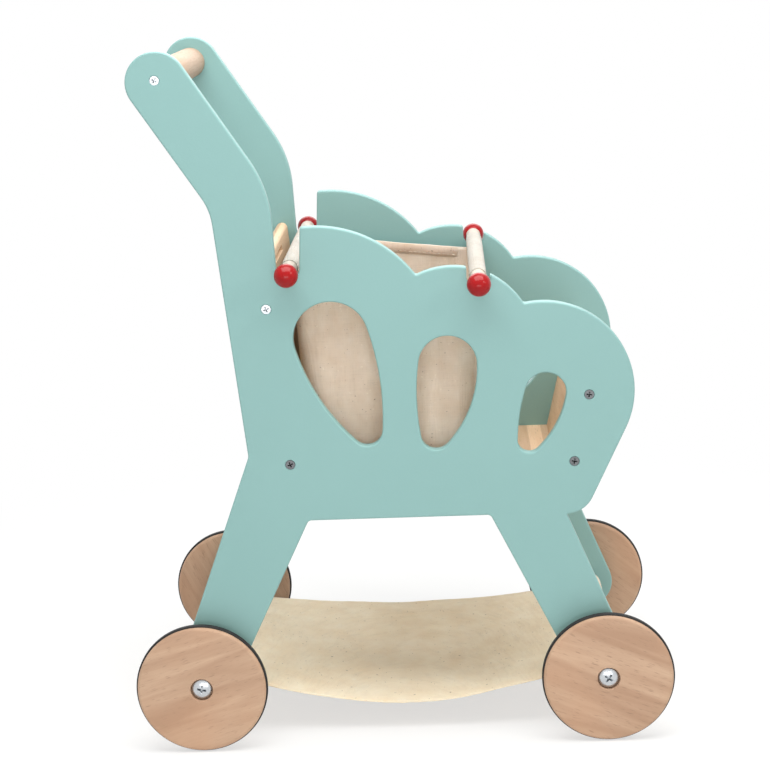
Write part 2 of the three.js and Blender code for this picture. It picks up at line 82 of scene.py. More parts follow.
class Graph:
    """A material's node graph, with one method for each step that the materials share."""

    def __init__(self, name, **sockets):
        self.material = bpy.data.materials.new(name)
        self.material.use_nodes = True
        self.tree = self.material.node_tree
        self.shader = self.tree.nodes["Principled BSDF"]
        self.coordinates = self.tree.nodes.new("ShaderNodeTexCoord")
        self.place = self.coordinates.outputs["Object"]
        self.facing = self.coordinates.outputs["Normal"]
        for socket, value in sockets.items():
            self.shader.inputs[socket.replace("_", " ")].default_value = value

    def put(self, socket, value):
        if isinstance(value, bpy.types.NodeSocket):
            self.tree.links.new(value, socket)
        else:
            socket.default_value = value

    def node(self, kind, inputs, output, **settings):
        made = self.tree.nodes.new(kind)
        for name, value in settings.items():
            setattr(made, name, value)
        for name, value in inputs.items():
            self.put(made.inputs[name], value)
        return made.outputs[output]

    def mapped(self, scale, turn=(0, 0, 0), shift=(0, 0, 0)):
        """The place on the piece, turned by turn in degrees and then scaled per axis."""
        turned = self.node("ShaderNodeVectorRotate", {
            "Vector": self.place, "Rotation": tuple(math.radians(a) for a in turn),
        }, "Vector", rotation_type="EULER_XYZ")
        return self.node("ShaderNodeMapping", {
            "Vector": turned, "Scale": scale, "Location": shift,
        }, "Vector")

    def noise(self, where, scale=1.0, detail=3.0, roughness=0.5, distortion=0.0):
        return self.node("ShaderNodeTexNoise", {
            "Vector": where, "Scale": scale, "Detail": detail, "Roughness": roughness,
            "Distortion": distortion,
        }, "Fac")

    def sum(self, operation, a, b=0.0):
        return self.node("ShaderNodeMath", {0: a, 1: b}, 0, operation=operation)

    def between(self, value, low, high, out_low=0.0, out_high=1.0):
        """value from low..high to out_low..out_high, held at the ends."""
        return self.node("ShaderNodeMapRange", {
            "Value": value, "From Min": low, "From Max": high, "To Min": out_low, "To Max": out_high,
        }, "Result")

    def mix(self, share, a, b):
        made = self.tree.nodes.new("ShaderNodeMix")
        made.data_type = "RGBA"
        for index, value in ((0, share), (6, a), (7, b)):
            self.put(made.inputs[index], value)
        return made.outputs[2]

    def apart(self, vector):
        made = self.tree.nodes.new("ShaderNodeSeparateXYZ")
        self.put(made.inputs[0], vector)
        return made.outputs

    def colour(self, value):
        self.put(self.shader.inputs["Base Color"], value)

    def roughness(self, value):
        self.put(self.shader.inputs["Roughness"], value)

    def bump(self, height, distance, strength=1.0):
        """A bump of that depth in metres, on top of any bump before it."""
        before = [link.from_socket for link in self.shader.inputs["Normal"].links]
        inputs = {"Height": height, "Distance": distance, "Strength": strength}
        if before:
            inputs["Normal"] = before[0]
        self.put(self.shader.inputs["Normal"], self.node("ShaderNodeBump", inputs, "Normal"))


def bands_every(length):
    """The wave texture's scale that gives one band in each length metres."""
    return 2 * math.pi / (20 * length)


def paint(name):
    """Satin paint over plywood: a sprayed skin, with a faint broad swell along the edges."""
    made = Graph(name, Specular_IOR_Level=0.42)
    broad = made.noise(made.place, scale=9, detail=2)
    skin = made.noise(made.place, scale=620, detail=2, roughness=0.6)
    specks = made.noise(made.place, scale=1500, detail=1)
    teal = made.mix(broad, linear(128, 168, 165), linear(135, 174, 171))
    teal = made.mix(made.between(specks, 0.68, 0.8, 0, 0.25), teal, linear(164, 200, 196))
    made.colour(teal)
    made.roughness(made.between(broad, 0.3, 0.7, 0.4, 0.5))
    across = made.apart(made.facing)[1]
    on_edge = made.between(made.sum("ABSOLUTE", across), 0.2, 0.5, 1, 0)
    plies = made.node("ShaderNodeTexWave", {
        "Vector": made.mapped((0, 1, 0)), "Scale": bands_every(15.08 * mm),
        "Distortion": 0.6, "Detail": 1.0,
    }, "Fac", bands_direction="Y")
    made.bump(made.sum("MULTIPLY", plies, on_edge), 0.00006)
    made.bump(skin, 0.00005)
    return made.material


def wood(name, light, dark, along, turn=(0, 0, 0), seed=0.0, contrast=1.0, roughness=0.55, plies=False):
    """Bare wood with its grain along that axis: growth bands, fibres, short dark pores and, where
    plies is set, broad soft bands on the edges."""
    made = Graph(name, Specular_IOR_Level=0.3)
    along_grain = 0.06  # the pattern's scale along the grain, as a share of that across it
    shift = (seed, seed * 1.7, seed * 0.6)

    def grained(scale, shortened=1.0):
        """The place on the piece, drawn out along the grain."""
        size = [scale, scale, scale]
        size["XYZ".index(along)] = scale * (along_grain * shortened)
        return made.mapped(tuple(size), turn, shift)

    bands = made.noise(grained(70, 1.6), detail=2, distortion=0.8)
    fibres = made.noise(grained(620), detail=4, roughness=0.65)
    pores = made.noise(grained(1500, 1.4), detail=1)
    blush = made.noise(made.mapped((14, 14, 14), turn, shift), detail=2)
    base = made.mix(made.between(bands, 0.36, 0.66, 0, contrast), linear(*light), linear(*dark))
    base = made.mix(made.between(fibres, 0.35, 0.7, 0, 0.35 * contrast), base, linear(*dark))
    darker = tuple(0.72 * value for value in dark)
    base = made.mix(made.between(pores, 0.64, 0.72, 0, 0.5 * contrast), base, linear(*darker))
    pink = (light[0], 0.93 * light[1], 0.88 * light[2])
    base = made.mix(made.between(blush, 0.45, 0.75, 0, 0.5), base, linear(*pink))
    if plies:
        facing = made.apart(made.facing)
        on_edge = made.between(made.sum("ABSOLUTE", facing[0]), 0.5, 0.75, 1, 0)
        layer = made.node("ShaderNodeTexWave", {
            "Vector": made.mapped((1, 0, 0)), "Scale": bands_every(22.62 * mm), "Distortion": 0.4,
        }, "Fac", bands_direction="X")
        layered = made.sum("MULTIPLY", made.between(layer, 0.45, 0.55), on_edge)
        base = made.mix(made.sum("MULTIPLY", layered, 0.45), base, linear(*darker))
    made.colour(base)
    made.roughness(made.between(fibres, 0.3, 0.7, roughness - 0.06, roughness + 0.08))
    made.bump(fibres, 0.00008)
    made.bump(made.between(pores, 0.64, 0.72, 1, 0), 0.00008)
    return made.material


def calico(name, light, dark, slub=1.0):
    """Unbleached cotton: threads that cross, uneven slubs, and dark flecks of seed."""
    made = Graph(
        name, Specular_IOR_Level=0.15, Sheen_Weight=0.18, Sheen_Roughness=0.5,
        Subsurface_Weight=0.6, Subsurface_Radius=(1.0, 0.85, 0.7), Subsurface_Scale=3 * mm,
    )
    pitch = 0.0007
    parts = made.apart(made.place)
    threads = [made.sum("SINE", made.sum("MULTIPLY", part, 2 * math.pi / pitch)) for part in parts]
    weave = made.sum("ADD", made.sum("ADD", threads[0], threads[1]), threads[2])
    weft = made.noise(made.mapped((60, 60, 1500)), detail=2)
    warp = made.noise(made.mapped((1500, 1500, 70)), detail=2)
    mottle = made.noise(made.place, scale=45, detail=4, roughness=0.6)
    seeds = made.noise(made.mapped((420, 420, 620)), detail=1)
    tufts = made.noise(made.mapped((330, 330, 330), shift=(5, 3, 1)), detail=1)
    uneven = made.sum("ADD", made.sum("MULTIPLY", weft, 0.5), made.sum("MULTIPLY", warp, 0.5))
    cloth = made.mix(made.between(mottle, 0.3, 0.7), linear(*light), linear(*dark))
    cloth = made.mix(made.between(uneven, 0.5, 0.68, 0, 0.2 * slub), cloth, linear(*(0.8 * v for v in dark)))
    cloth = made.mix(made.between(tufts, 0.7, 0.78, 0, 0.45), cloth, linear(244, 232, 214))
    cloth = made.mix(made.between(seeds, 0.735, 0.77, 0, 0.6), cloth, linear(112, 84, 60))
    made.colour(cloth)
    made.roughness(made.between(mottle, 0.3, 0.7, 0.86, 0.96))
    made.bump(mottle, 0.0006, 0.5)
    made.bump(uneven, 0.00009)
    made.bump(weave, 0.00005)
    return made.material


def rubber(name):
    made = Graph(name, Specular_IOR_Level=0.35)
    dust = made.noise(made.place, scale=260, detail=3)
    made.colour(made.mix(made.between(dust, 0.4, 0.75), linear(22, 22, 23), linear(44, 43, 42)))
    made.roughness(made.between(dust, 0.3, 0.7, 0.6, 0.8))
    made.bump(made.noise(made.place, scale=1900, detail=2), 0.00006)
    return made.material


def lacquer(name):
    """Glossy red lacquer over a turned wooden ball."""
    made = Graph(name, Specular_IOR_Level=0.12, Coat_Weight=0.3, Coat_Roughness=0.1)
    depth = made.noise(made.place, scale=120, detail=3)
    made.colour(made.mix(depth, linear(164, 13, 16), linear(139, 8, 13)))
    made.roughness(made.between(depth, 0.3, 0.7, 0.24, 0.34))
    made.bump(made.noise(made.place, scale=230, detail=1), 0.00005)
    return made.material


def plated(name, light, dark, roughness):
    made = Graph(name, Metallic=1.0)
    cloud = made.noise(made.place, scale=330, detail=4, roughness=0.6)
    made.colour(made.mix(cloud, linear(*light), linear(*dark)))
    made.roughness(made.between(cloud, 0.3, 0.7, roughness - 0.06, roughness + 0.1))
    made.bump(made.noise(made.place, scale=2400, detail=2), 0.00002)
    return made.material


def moulded(name, light, dark):
    made = Graph(name, Specular_IOR_Level=0.4)
    cloud = made.noise(made.place, scale=180, detail=2)
    made.colour(made.mix(cloud, linear(*light), linear(*dark)))
    made.roughness(made.between(cloud, 0.3, 0.7, 0.4, 0.55))
    made.bump(made.noise(made.place, scale=1500, detail=2), 0.00003)
    return made.material


painted = paint("painted_panel")
handle_wood = wood("handle_wood", (186, 163, 141), (170, 142, 119), "Y", contrast=0.7)
board_wood = wood("board_wood", (230, 202, 170), (212, 178, 142), "Y", contrast=0.8, plies=True)
beech = wood("beech", (192, 185, 174), (183, 172, 157), "Y", seed=3.0, contrast=0.6)
bag_cloth = calico("calico", (229, 213, 198), (217, 197, 178))
sling_cloth = calico("sling_calico", (246, 230, 204), (236, 214, 184), slub=1.3)
# The sleeves' calico is the bag's cloth made darker: painted shade that holds down the strong light from
# above on the sleeves.
sleeve_cloth_painted_shade = calico("sleeve_calico_painted_shade", (188, 182, 172), (178, 170, 158), slub=0.6)
thread = calico("sewing_thread", (226, 214, 192), (208, 194, 168), slub=0.4)
tyre_rubber = rubber("tyre_rubber")
red_lacquer = lacquer("red_ball")
bright_zinc = plated("bright_zinc", (214, 217, 220), (176, 181, 186), 0.26)
dark_zinc = plated("dark_zinc", (128, 130, 132), (92, 94, 96), 0.36)
brass = plated("insert_brass", (206, 170, 92), (176, 140, 66), 0.3)
nylon = moulded("nylon", (232, 232, 228), (218, 218, 212))


# ------------------------------------------------------------------ mesh tools

def add_piece(name, mesh, material, body, slot, *replaced, place=None):
    """A piece of the object: it rides on that body and stands for the CAD nodes named last."""
    made = bpy.data.objects.new(name, mesh)
    bpy.context.scene.collection.objects.link(made)
    if place is not None:
        made.matrix_world = place
    if not mesh.materials:
        mesh.materials.append(material)
    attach(made, body)
    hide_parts(*replaced)
    return made


def finished(shape, name, sharp=35):
    """A mesh from a bmesh: normals outwards, smooth, and sharp where faces meet at more than sharp."""
    bmesh.ops.recalc_face_normals(shape, faces=shape.faces)
    mesh = bpy.data.meshes.new(name)
    shape.to_mesh(mesh)
    shape.free()
    for face in mesh.polygons:
        face.use_smooth = True
    mesh.set_sharp_from_angle(angle=math.radians(sharp))
    return mesh


def spun(name, profile, steps=72, ring=False, sharp=35):
    """A mesh turned round the Y axis from (radius, y) points. A ring's profile closes on itself."""
    shape = bmesh.new()
    rows = []
    for radius, y in profile:
        count = 1 if radius < 1e-7 else steps
        turn = [2 * math.pi * i / steps for i in range(count)]
        rows.append([shape.verts.new((radius * math.cos(a), y, radius * math.sin(a))) for a in turn])
    pairs = list(zip(rows, rows[1:])) + ([(rows[-1], rows[0])] if ring else [])
    for a, b in pairs:
        for i in range(steps):
            j = (i + 1) % steps
            corners = [a[i % len(a)], a[j % len(a)], b[j % len(b)], b[i % len(b)]]
            distinct = list(dict.fromkeys(corners))
            if len(distinct) > 2:
                shape.faces.new(distinct)
    return finished(shape, name, sharp)


def arc(radius, y, round_by, start, stop, steps=5):
    """Profile points of a quarter round: centre (radius, y), angles in degrees from outwards."""
    spread = [math.radians(start + (stop - start) * i / steps) for i in range(steps + 1)]
    return [(radius + round_by * math.cos(a), y + round_by * math.sin(a)) for a in spread]


def rounded_bar(radius, half_length, round_by):
    """Profile of a bar along Y with softened ends."""
    low = arc(radius - round_by, -half_length + round_by, round_by, -90, 0, 3)
    high = arc(radius - round_by, half_length - round_by, round_by, 0, 90, 3)
    return [(0, -half_length), *low, *high, (0, half_length)]


def cut(mesh, cutters):
    """The mesh with the cutters' volume taken away. The cutters' own meshes are used up."""
    target = bpy.data.objects.new("target", mesh)
    bpy.context.scene.collection.objects.link(target)
    helpers = []
    for cutter in cutters:
        helper = bpy.data.objects.new("cutter", cutter)
        bpy.context.scene.collection.objects.link(helper)
        helpers.append(helper)
        step = target.modifiers.new("cut", "BOOLEAN")
        step.operation = "DIFFERENCE"
        step.solver = "EXACT"
        step.object = helper
    graph = bpy.context.evaluated_depsgraph_get()
    result = bpy.data.meshes.new_from_object(target.evaluated_get(graph))
    result.name = mesh.name
    for spare in [target, *helpers]:
        bpy.data.objects.remove(spare)
    for face in result.polygons:
        face.use_smooth = True
    result.set_sharp_from_angle(angle=math.radians(35))
    return result


def cross_cutters(width, depth, y):
    """The recess of a cross-head driver: two tapered blades that cross, sunk along +Y from y."""
    blades = []
    corners = ((-1, -1), (1, -1), (1, 1), (-1, 1))
    for turn in (0, math.pi / 2):
        shape = bmesh.new()
        levels = []
        for level, share in ((y - 0.5 * mm, 1.0), (y + depth, 0.4)):
            x, z = width / 2 * share, 0.11 * width * share
            levels.append([shape.verts.new((a * x, level, b * z)) for a, b in corners])
        top, bottom = levels
        shape.faces.new(top)
        shape.faces.new(reversed(bottom))
        for i in range(4):
            j = (i + 1) % 4
            shape.faces.new((top[j], top[i], bottom[i], bottom[j]))
        bmesh.ops.rotate(shape, verts=shape.verts, matrix=Matrix.Rotation(turn, 3, "Y"))
        blades.append(finished(shape, "blade"))
    return blades


def middle(node):
    low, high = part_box(node)
    return (low + high) / 2


def facing_out(side, x, z, y):
    """Places a piece that points inwards along +Y from y = 0 on that side of the object."""
    turn = Matrix.Rotation(0 if side == "right" else math.pi, 4, "Z")
    return Matrix.Translation((x, sides[side] * y, z)) @ turn


# ------------------------------------------------------------------ side panels

panel_edge = 1.3 * mm
drilled_below = 14 * mm  # loops narrower than this are drilled holes
bolt_bore = 3.3 * mm  # radius


def face_loops(node, y):
    """The loops of (x, z) points that bound the CAD node's flat face at that y."""
    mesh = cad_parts[node].data
    key = [(round(v.co.x, 6), round(v.co.z, 6)) for v in mesh.vertices]
    flat = [abs(v.co.y - y) < 1e-6 for v in mesh.vertices]
    uses = {}
    for face in mesh.polygons:
        if all(flat[i] for i in face.vertices):
            for i, j in zip(face.vertices, [*face.vertices[1:], face.vertices[0]]):
                pair = frozenset((key[i], key[j]))
                uses[pair] = uses.get(pair, 0) + 1
    neighbours = {}
    for pair, count in uses.items():
        if count == 1:
            a, b = pair
            neighbours.setdefault(a, []).append(b)
            neighbours.setdefault(b, []).append(a)
    loops = []
    while neighbours:
        loop = [next(iter(neighbours))]
        while True:
            near = neighbours.pop(loop[-1])
            onward = [p for p in near if p in neighbours]
            if not onward:
                break
            loop.append(onward[0])
        loops.append([Vector(p) for p in loop])
    return loops


def width_of(loop):
    return max(p.x for p in loop) - min(p.x for p in loop)


def smoother(loop):
    """The loop with a point added to each side, bowed out to the round its neighbours lie on."""
    count = len(loop)

    def bend(i):
        """One over the radius of the round through point i and its neighbours, None at a corner."""
        a, b, c = loop[i - 1], loop[i], loop[(i + 1) % count]
        first, second = b - a, c - b
        lengths = sorted((first.length, second.length))
        turn = first.angle_signed(second)
        if abs(turn) > math.radians(32) or lengths[1] > 1.7 * lengths[0]:
            return None
        return -2 * math.sin(turn) / (c - a).length

    bends = [bend(i) for i in range(count)]
    points = []
    for i in range(count):
        a, b = loop[i], loop[(i + 1) % count]
        known = [v for v in (bends[i], bends[(i + 1) % count]) if v is not None]
        side = b - a
        bow = sum(known) / len(known) * side.length_squared / 8 if known else 0
        out = Vector((side.y, -side.x)).normalized()
        points += [a, (a + b) / 2 + out * bow]
    return points


def eased(loop, cut_back=2.2 * mm):
    """The loop with each sharp corner turned through a small round."""
    points = []
    for i, b in enumerate(loop):
        before, after = loop[i - 1] - b, loop[(i + 1) % len(loop)] - b
        if abs((-before).angle_signed(after)) < math.radians(32):
            points.append(b)
            continue
        start = b + before.normalized() * min(cut_back, 0.45 * before.length)
        stop = b + after.normalized() * min(cut_back, 0.45 * after.length)
        for share in (0, 0.2, 0.4, 0.6, 0.8, 1):
            points.append(start.lerp(b, share).lerp(b.lerp(stop, share), share))
    return points


def rounded_plate(name, loops, low, high, edge):
    """A plate with that outline and holes from y = low to high, its edges rounded."""
    curve = bpy.data.curves.new(name, "CURVE")
    curve.dimensions = "2D"
    curve.fill_mode = "BOTH"
    curve.bevel_depth = edge
    curve.bevel_resolution = 3
    curve.extrude = (high - low) / 2 - edge
    curve.offset = -edge
    for loop in loops:
        spline = curve.splines.new("POLY")
        spline.points.add(len(loop) - 1)
        for point, spot in zip(spline.points, loop):
            point.co = (spot.x, spot.y, 0, 1)
        spline.use_cyclic_u = True
    holder = bpy.data.objects.new(name, curve)
    bpy.context.scene.collection.objects.link(holder)
    graph = bpy.context.evaluated_depsgraph_get()
    mesh = bpy.data.meshes.new_from_object(holder.evaluated_get(graph))
    bpy.data.objects.remove(holder)
    shape = bmesh.new()
    shape.from_mesh(mesh)
    bmesh.ops.remove_doubles(shape, verts=shape.verts, dist=1e-6)
    bmesh.ops.rotate(shape, verts=shape.verts, matrix=Matrix.Rotation(math.pi / 2, 3, "X"))
    bmesh.ops.translate(shape, verts=shape.verts, vec=(0, (low + high) / 2, 0))
    return finished(shape, name, 50)


screw_sizes = {"handle_screw": (7.2 * mm, 4.5 * mm, 50 * mm), "board_screw": (7.5 * mm, 4 * mm, 40 * mm)}
screw_names = (
    "handle_screw", "rear_board_lower_screw", "rear_board_upper_screw",
    "front_board_lower_screw", "front_board_upper_screw",
)


def screw_size(name):
    return screw_sizes["handle_screw" if name == "handle_screw" else "board_screw"]


def countersink(name, side, panel_face):
    """The hole that a screw's head sits in, a little wider than the head."""
    head, shank, _ = screw_size(name)
    spare = 0.22 * mm
    profile = [
        (0, -0.5 * mm), (head / 2 + 2 * spare, -0.5 * mm), (head / 2 + spare, 0.35 * mm),
        (shank / 2 + spare, 0.35 * mm + (head - shank) / 2), (shank / 2 + spare, 14 * mm), (0, 14 * mm),
    ]
    mesh = spun("hole", profile, steps=40)
    spot = middle(f"{name}_{side}")
    mesh.transform(facing_out(side, spot.x, spot.z, panel_face))
    return mesh


def make_panel(side):
    node = f"side_panel_{side}"
    low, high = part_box(node)
    outer = high.y if side == "left" else low.y
    loops = [loop for loop in face_loops(node, outer) if width_of(loop) > drilled_below]
    blank = rounded_plate(node, [eased(smoother(loop)) for loop in loops], low.y, high.y, panel_edge)
    holes = [countersink(name, side, abs(outer)) for name in screw_names]
    for end in ends:
        spot = middle(f"wheel_bolt_{end}_{side}")
        reach = 14 * mm
        bore = spun("bore", [(0, -reach), (bolt_bore, -reach), (bolt_bore, reach), (0, reach)], 40)
        bore.transform(Matrix.Translation((spot.x, outer, spot.z)))
        holes.append(bore)
    panel = add_piece(f"panel_{side}", cut(blank, holes), painted, "frame", "painted_panel", node)
    panel.modifiers.new("even_shading", "WEIGHTED_NORMAL").keep_sharp = True


def make_screws():
    for name in screw_names:
        head, shank, length = screw_size(name)
        lip = 0.25 * mm
        seat = 0.3 * mm
        profile = [
            (0, seat), (head / 2 - lip, seat), (head / 2, seat + lip), (head / 2, seat + 2 * lip),
            (shank / 2, seat + 2 * lip + (head - shank) / 2), (shank / 2, length - shank), (0, length),
        ]
        mesh = cut(spun(name, profile, steps=48), cross_cutters(0.62 * head, 0.45 * head, seat))
        bright = name in ("handle_screw", "rear_board_upper_screw")
        for side in sides:
            node = f"{name}_{side}"
            low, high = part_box(f"side_panel_{side}")
            face = max(abs(low.y), abs(high.y))
            spot = middle(node)
            turn = Matrix.Rotation(math.radians(17 + 31 * len(name)), 4, "Y")
            add_piece(
                f"{node}_piece", mesh, bright_zinc if bright else dark_zinc, "frame",
                "bright_zinc" if bright else "dark_zinc", node,
                place=facing_out(side, spot.x, spot.z, face) @ turn,
            )


for side in sides:
    make_panel(side)
make_screws()


# ------------------------------------------------------------------ boards, handle and rails

board_edge = 0.6 * mm
card_slot = {"width": 70 * mm, "height": 5 * mm, "below_top": 11 * mm}
rear_board_tilt = math.radians(-5.8)
rear_board_thickness = 9.5 * mm


def slot_cutter(top):
    """The hole for a card through the rear board, square to the board."""
    shape = bmesh.new()
    through = 40 * mm
    size = Matrix.Diagonal((through, card_slot["width"], card_slot["height"], 1))
    bmesh.ops.create_cube(shape, size=1, matrix=size)
    turn = Matrix.Rotation(rear_board_tilt, 4, "Y")
    down = turn @ Vector((0, 0, -card_slot["below_top"]))
    bmesh.ops.transform(shape, verts=shape.verts, matrix=Matrix.Translation(top + down) @ turn)
    return finished(shape, "slot")


def make_board(node):
    low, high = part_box(node)
    ends_of_board = [loop for loop in face_loops(node, low.y) if width_of(loop) > drilled_below]
    mesh = rounded_plate(node, [smoother(loop) for loop in ends_of_board], low.y, high.y, board_edge)
    if node == "rear_board":
        mesh = cut(mesh, [slot_cutter(Vector((low.x + rear_board_thickness / 2, 0, high.z)))])
    board = add_piece(f"{node}_piece", mesh, board_wood, "frame", "board_wood", node)
    board.modifiers.new("even_shading", "WEIGHTED_NORMAL").keep_sharp = True


for node in ("rear_board", "front_board", "floor_board"):
    make_board(node)

repainted = {
    "floor_dowel": beech, "rail_insert": brass, "wheel_bush": nylon, "wheel_spacer": nylon,
}
for node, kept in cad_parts.items():
    for words, material in repainted.items():
        if words in node:
            kept.data.materials.clear()
            kept.data.materials.append(material)


def bar_piece(node, material, slot, round_by):
    """A plain turned bar along Y, in the CAD node's place."""
    low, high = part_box(node)
    radius = (high.x - low.x) / 2
    mesh = spun(node, rounded_bar(radius, (high.y - low.y) / 2, round_by), 96)
    add_piece(f"{node}_piece", mesh, material, "frame", slot, node,
              place=Matrix.Translation((low + high) / 2))


bar_piece("handle_bar", handle_wood, "handle_wood", 0.5 * mm)
for end in ends:
    bar_piece(f"{end}_cross_rail", beech, "beech", 0.5 * mm)


# ------------------------------------------------------------------ wheels

wheel_edge = 2.5 * mm
hub_recess = {"radius": 8.7 * mm, "depth": 4.5 * mm}
bolt_shape = {"head": 15.5 * mm, "rise": 2 * mm, "height": 4 * mm, "shank": 6 * mm}
bush_bore = 5 * mm
tyre_thickness = 2.6 * mm
groove_spare = 0.3 * mm
grain_turns = {"rear_right": 17, "front_right": -21, "rear_left": 64, "front_left": 38}


def wheel_profile(radius, thickness, groove, groove_from):
    """From the wheel's outer face, y = 0, with a soft rim, a groove for the tyre and a hub recess."""
    hub = hub_recess["radius"]
    lip = 0.35 * mm
    front = arc(radius - wheel_edge, wheel_edge, wheel_edge, -90, 0, 6)
    back = arc(radius - wheel_edge, thickness - wheel_edge, wheel_edge, 0, 90, 6)
    return [
        (bush_bore, hub_recess["depth"]), (hub, hub_recess["depth"]), (hub, lip), (hub + lip, 0),
        (0.5 * radius, 0), *front, (radius, groove_from), (groove, groove_from),
        (groove, thickness - groove_from), (radius, thickness - groove_from), *back,
        (0.5 * radius, thickness), (bush_bore, thickness),
    ]


def tyre_profile(inner, outer, width):
    soft = 1.1 * mm
    return [
        (inner, 0), *arc(outer - soft, soft, soft, -90, 0, 4),
        *arc(outer - soft, width - soft, soft, 0, 90, 4), (inner, width),
    ]


def bolt_mesh(length):
    """A domed cross-head bolt: the top of its head is at y = 0 and its shank points along +Y."""
    head = bolt_shape["head"] / 2
    rise, height, shank = bolt_shape["rise"], bolt_shape["height"], bolt_shape["shank"] / 2
    dome = [(head * s, rise * s ** 2.4) for s in (0, 0.2, 0.4, 0.55, 0.7, 0.8, 0.88, 0.94, 0.98)]
    profile = [
        *dome, (head, rise + 0.3 * mm), (head, height), (shank, height), (shank, length), (0, length),
    ]
    return cut(spun("wheel_bolt", profile, 72), cross_cutters(0.52 * bolt_shape["head"], 3.2 * mm, 0))


def make_wheels():
    low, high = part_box("wheel_front_right")
    tyre_low, tyre_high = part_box("tyre_front_right")
    bolt_low, bolt_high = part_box("wheel_bolt_front_right")
    radius = (high.x - low.x) / 2
    tread = (tyre_high.x - tyre_low.x) / 2
    thickness = high.y - low.y
    tyre_width = tyre_high.y - tyre_low.y
    tyre_inner = tread - tyre_thickness
    groove_from = (thickness - tyre_width) / 2 - groove_spare
    disc = wheel_profile(radius, thickness, tyre_inner - groove_spare, groove_from)
    tyre = spun("tyre", tyre_profile(tyre_inner, tread, tyre_width), 128, ring=True)
    bolt = bolt_mesh(bolt_high.y - bolt_low.y)
    for number, (corner, grain) in enumerate(grain_turns.items()):
        body = f"{corner}_wheel_set"
        side = corner.split("_")[1]
        spot = middle(f"wheel_{corner}")
        material = wood(
            f"wheel_wood_{corner}", (193, 162, 136), (167, 133, 108), "X", turn=(0, grain, 0),
            seed=1.3 * number, contrast=0.9, roughness=0.5,
        )
        mesh = spun(f"wheel_{corner}", disc, 128, ring=True)
        face = abs(spot.y) + thickness / 2
        place = facing_out(side, spot.x, spot.z, face)
        add_piece(f"wheel_disc_{corner}", mesh, material, body, "wheel_wood", f"wheel_{corner}", place=place)
        add_piece(
            f"tyre_ring_{corner}", tyre, tyre_rubber, body, "tyre_rubber", f"tyre_{corner}",
            place=facing_out(side, spot.x, spot.z, face - (thickness - tyre_width) / 2),
        )
        bolt_turn = Matrix.Rotation(math.radians(12 + 23 * number), 4, "Y")
        bolt_face = max(abs(v.y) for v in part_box(f"wheel_bolt_{corner}"))
        add_piece(
            f"wheel_bolt_{corner}_piece", bolt, bright_zinc, "frame", "bright_zinc",
            f"wheel_bolt_{corner}", place=facing_out(side, spot.x, spot.z, bolt_face) @ bolt_turn,
        )


make_wheels()


# ------------------------------------------------------------------ bag rods and balls

ball_radius = 9 * mm
rod_edge = 0.3 * mm


def ball_profile(radius, flat):
    """A turned ball from its outer pole at y = 0 to the flat that meets the rod."""
    end = math.pi - math.asin(flat / radius)
    spread = [end * i / 26 for i in range(27)]
    return [(radius * math.sin(a), radius - radius * math.cos(a)) for a in spread] + [
        (0, radius - radius * math.cos(end)),
    ]


def make_rods():
    for end in ends:
        node = f"{end}_bag_rod"
        low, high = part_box(node)
        radius = (high.x - low.x) / 2
        spot = (low + high) / 2
        ball_low, ball_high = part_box(f"{end}_rod_ball_left")
        shoulder = ball_low.y - 0.2 * mm
        rod = spun(node, rounded_bar(radius, shoulder, rod_edge), 64)
        add_piece(f"{node}_piece", rod, beech, "bag_set", "beech", node, place=Matrix.Translation(spot))
        ball = spun(f"{end}_ball", ball_profile(ball_radius, radius - rod_edge), 64)
        for side in sides:
            place = facing_out(side, spot.x, spot.z, ball_high.y)
            add_piece(f"{end}_ball_{side}", ball, red_lacquer, "bag_set", "red_ball",
                      f"{end}_rod_ball_{side}", place=place)


make_rods()


# ------------------------------------------------------------------ bag

cloth_thickness = 1.0 * mm
bag_half_width = 95.5 * mm
bag_bottom = {"rear": -65 * mm, "front": 54 * mm}
bag_corner = 17 * mm
bag_fold = 16 * mm  # radius where a wall turns into the bottom
hem_depth = 8 * mm
hem_below = {"rear": 1 * mm, "front": 7.2 * mm}
wall_rows, fold_rows, floor_rows = 34, 6, 7


def rounded_ring(x_low, x_high, half_width, corner, per_wall=26, per_corner=7):
    """Points of a rounded rectangle seen from above, as many on each corner and on each wall."""
    points = []
    centres = [
        (x_high - corner, half_width - corner, 0), (x_low + corner, half_width - corner, 90),
        (x_low + corner, -half_width + corner, 180), (x_high - corner, -half_width + corner, 270),
    ]
    for number, (x, y, start) in enumerate(centres):
        for i in range(per_corner):
            angle = math.radians(start + 90 * i / (per_corner - 1))
            points.append(Vector((x + corner * math.cos(angle), y + corner * math.sin(angle))))
        after = centres[(number + 1) % 4]
        leave = points[-1]
        angle = math.radians(after[2])
        arrive = Vector((after[0] + corner * math.cos(angle), after[1] + corner * math.sin(angle)))
        points += [leave.lerp(arrive, i / per_wall) for i in range(1, per_wall)]
    return points


rod_axes = {end: middle(f"{end}_bag_rod") for end in ends}
floor_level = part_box("floor_board")[1].z + 0.9 * mm


def hem_height(x):
    """The height of the bag's upper edge at x, on a line from rod to rod that hangs a little."""
    rear, front = rod_axes["rear"], rod_axes["front"]
    share = min(1, max(0, (x - rear.x) / (front.x - rear.x)))
    line = (rear.z - hem_below["rear"]) * (1 - share) + (front.z - hem_below["front"]) * share
    return line - 1.2 * mm * 4 * share * (1 - share)


bag_rear_drop = 2.4  # the rear wall drops steeply from its rod, then leans in
corner_fold = {"from": 49 * mm, "turn": 0.6}


